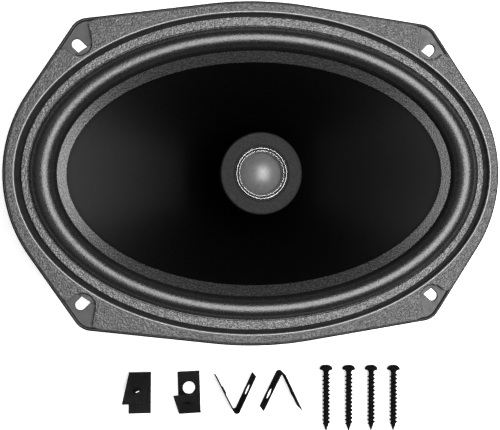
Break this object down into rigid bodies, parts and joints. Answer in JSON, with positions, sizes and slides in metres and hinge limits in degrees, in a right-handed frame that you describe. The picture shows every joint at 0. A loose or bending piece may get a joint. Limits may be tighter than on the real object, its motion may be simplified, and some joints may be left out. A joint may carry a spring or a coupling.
{
  "type": "coaxial car speaker",
  "caption": "Oval two-way coaxial car loudspeaker with stamped basket, rubber surround, post-mounted tweeter, loose screws and speed clips.",
  "frame": {"origin": "centre of the motor's rear face, on the flush end of the tweeter post", "axes": "+Z along the cone axis towards the listener, +X along the long axis of the oval, the terminals on the -Y side"},
  "size_m": [0.2346, 0.2244, 0.086],
  "materials": {
    "basket_paint": "satin black paint on stamped steel",
    "gasket_grain": "fine leather grain, matt",
    "ring_grain": "fine grain, matt",
    "surround_rubber": "satin butyl rubber",
    "cone_poly": "smooth injection-moulded polypropylene",
    "former_foil": "plain foil",
    "copper_wire": "enamelled copper winding",
    "spider_cloth": "phenolic-dipped woven cloth",
    "braid": "braided tinsel",
    "ferrite": "ground ferrite",
    "zinc_steel": "zinc plate",
    "post_alloy": "turned",
    "tweeter_plastic": "fine spark-eroded texture",
    "trim_silver": "bright",
    "neodymium": "nickel plate",
    "dome_silk": "coated silk, satin",
    "cable_jacket": "soft PVC jacket",
    "phenolic": "phenolic paper board",
    "tinned": "tinned brass",
    "capacitor_film": "shrink sleeve",
    "black_steel": "black oxide"
  },
  "bodies": {
    "frame": {"basket": "basket_paint", "front_gasket": "gasket_grain", "surround_clamp_ring": "ring_grain", "surround": "surround_rubber", "spider": "spider_cloth", "tinsel_lead_positive": "braid", "tinsel_lead_negative": "braid", "t_yoke": "zinc_steel", "magnet": "ferrite", "top_plate": "zinc_steel", "tweeter_post": "post_alloy", "tweeter_housing": "tweeter_plastic", "tweeter_bezel": "tweeter_plastic", "tweeter_yoke": "zinc_steel", "tweeter_magnet": "neodymium", "tweeter_top_plate": "zinc_steel", "tweeter_trim_ring": "trim_silver", "tweeter_cable": "cable_jacket", "terminal_board": "phenolic", "terminal_positive": "tinned", "terminal_negative": "tinned", "terminal_rivet_1": "zinc_steel", "terminal_rivet_2": "zinc_steel", "crossover_capacitor": "capacitor_film", "basket_rivet_1": "zinc_steel", "basket_rivet_2": "zinc_steel", "basket_rivet_3": "zinc_steel", "basket_rivet_4": "zinc_steel"},
    "cone_assembly": {"cone": "cone_poly", "voice_coil_former": "former_foil", "voice_coil_winding": "copper_wire"},
    "tweeter_diaphragm": {"tweeter_dome": "dome_silk", "tweeter_voice_coil": "copper_wire"},
    "loose_mounting_screw_1": {"mounting_screw_1": "black_steel"},
    "loose_mounting_screw_2": {"mounting_screw_2": "black_steel"},
    "loose_mounting_screw_3": {"mounting_screw_3": "black_steel"},
    "loose_mounting_screw_4": {"mounting_screw_4": "black_steel"},
    "loose_speed_clip_1": {"speed_clip_1": "black_steel"},
    "loose_speed_clip_2": {"speed_clip_2": "black_steel"},
    "loose_speed_clip_3": {"speed_clip_3": "black_steel"},
    "loose_speed_clip_4": {"speed_clip_4": "black_steel"}
  },
  "joints": [
    {"name": "cone_slide", "type": "slide", "parent": "frame", "child": "cone_assembly", "axis": [0, 0, 1], "range_m": [-0.005, 0.005], "stiffness_N_per_m": 2500, "deforming": ["surround", "spider", "tinsel_lead_positive", "tinsel_lead_negative"]},
    {"name": "tweeter_dome_slide", "type": "slide", "parent": "frame", "child": "tweeter_diaphragm", "axis": [0, 0, 1], "range_m": [-0.00025, 0.00025], "stiffness_N_per_m": 60},
    {"name": "lift_mounting_screw_1", "type": "slide", "parent": "frame", "child": "loose_mounting_screw_1", "axis": [0, 0, 1], "range_m": [0, 0.05]},
    {"name": "lift_mounting_screw_2", "type": "slide", "parent": "frame", "child": "loose_mounting_screw_2", "axis": [0, 0, 1], "range_m": [0, 0.05]},
    {"name": "lift_mounting_screw_3", "type": "slide", "parent": "frame", "child": "loose_mounting_screw_3", "axis": [0, 0, 1], "range_m": [0, 0.05]},
    {"name": "lift_mounting_screw_4", "type": "slide", "parent": "frame", "child": "loose_mounting_screw_4", "axis": [0, 0, 1], "range_m": [0, 0.05]},
    {"name": "lift_speed_clip_1", "type": "slide", "parent": "frame", "child": "loose_speed_clip_1", "axis": [0, 0, 1], "range_m": [0, 0.05]},
    {"name": "lift_speed_clip_2", "type": "slide", "parent": "frame", "child": "loose_speed_clip_2", "axis": [0, 0, 1], "range_m": [0, 0.05]},
    {"name": "lift_speed_clip_3", "type": "slide", "parent": "frame", "child": "loose_speed_clip_3", "axis": [0, 0, 1], "range_m": [0, 0.05]},
    {"name": "lift_speed_clip_4", "type": "slide", "parent": "frame", "child": "loose_speed_clip_4", "axis": [0, 0, 1], "range_m": [0, 0.05]}
  ]
}
